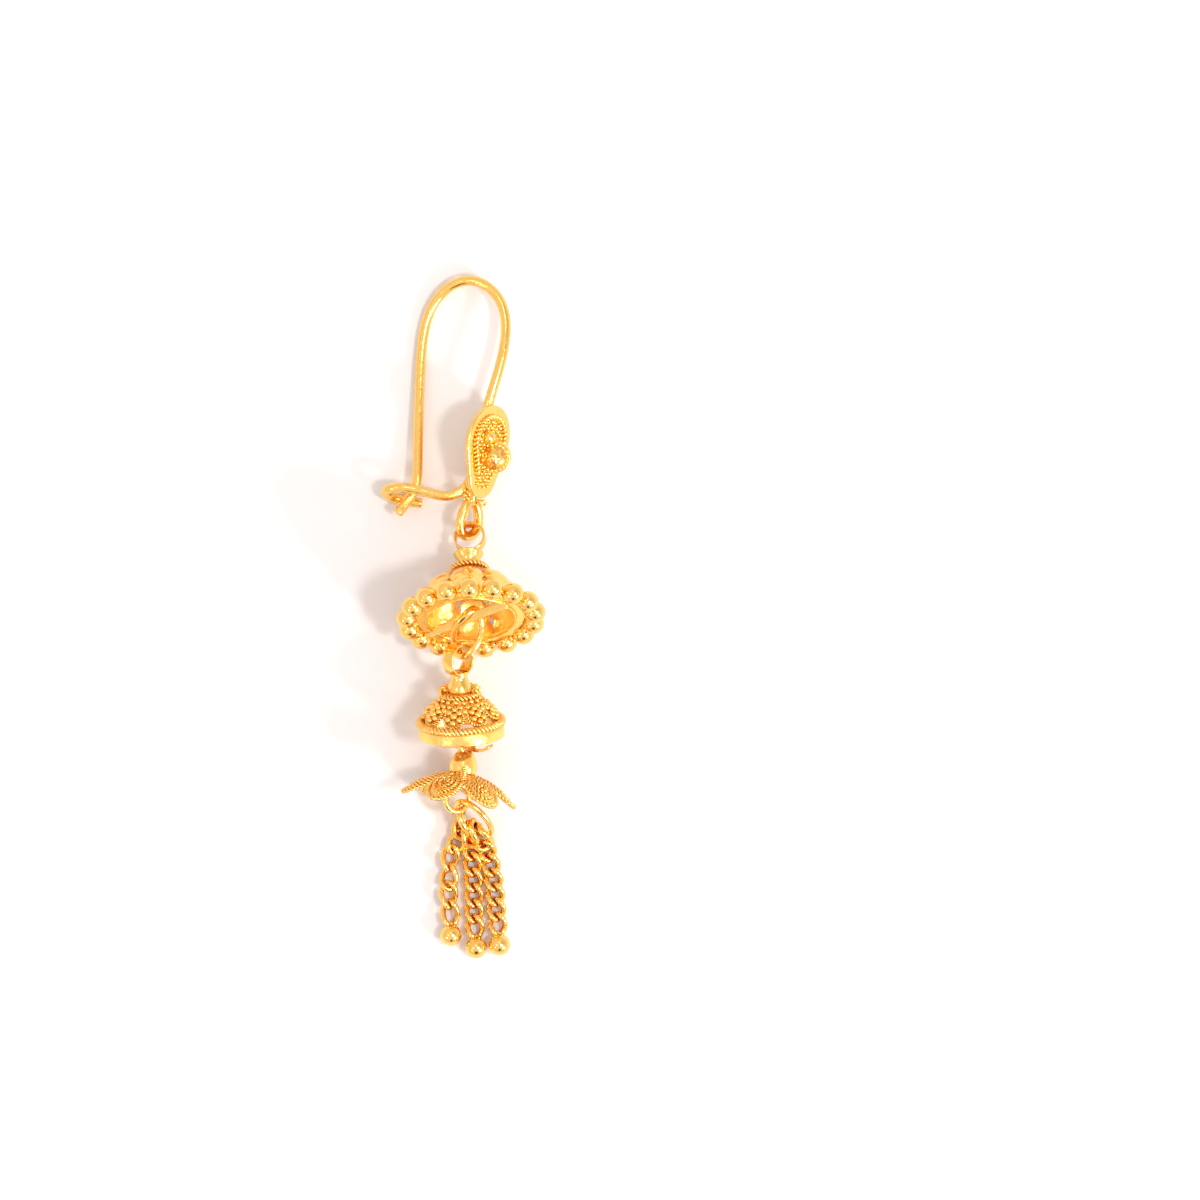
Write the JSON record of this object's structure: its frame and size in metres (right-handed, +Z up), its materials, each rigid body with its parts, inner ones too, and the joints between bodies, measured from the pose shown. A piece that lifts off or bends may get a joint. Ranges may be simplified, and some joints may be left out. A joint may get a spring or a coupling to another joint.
{
  "type": "hook earring",
  "caption": "Drop earring on a sprung hook wire: plaque, beaded cap, filigree bell, petal flower and a tassel of chains with balls.",
  "frame": {"origin": "middle of the footprint of the lying earring, on the table", "axes": "+Y along the earring towards its hook, +X across it, +Z up from the table"},
  "size_m": [0.0144, 0.0592, 0.0116],
  "materials": {
    "gold": "polished high-carat yellow gold"
  },
  "bodies": {
    "root": {"ear_hook": "gold", "beaded_cap": "gold", "cap_link": "gold", "filigree_bell": "gold", "flower_cap": "gold", "chain_ring": "gold", "chain_left": "gold", "chain_middle": "gold", "chain_right": "gold", "end_ball_left": "gold", "end_ball_middle": "gold", "end_ball_right": "gold"}
  },
  "joints": []
}
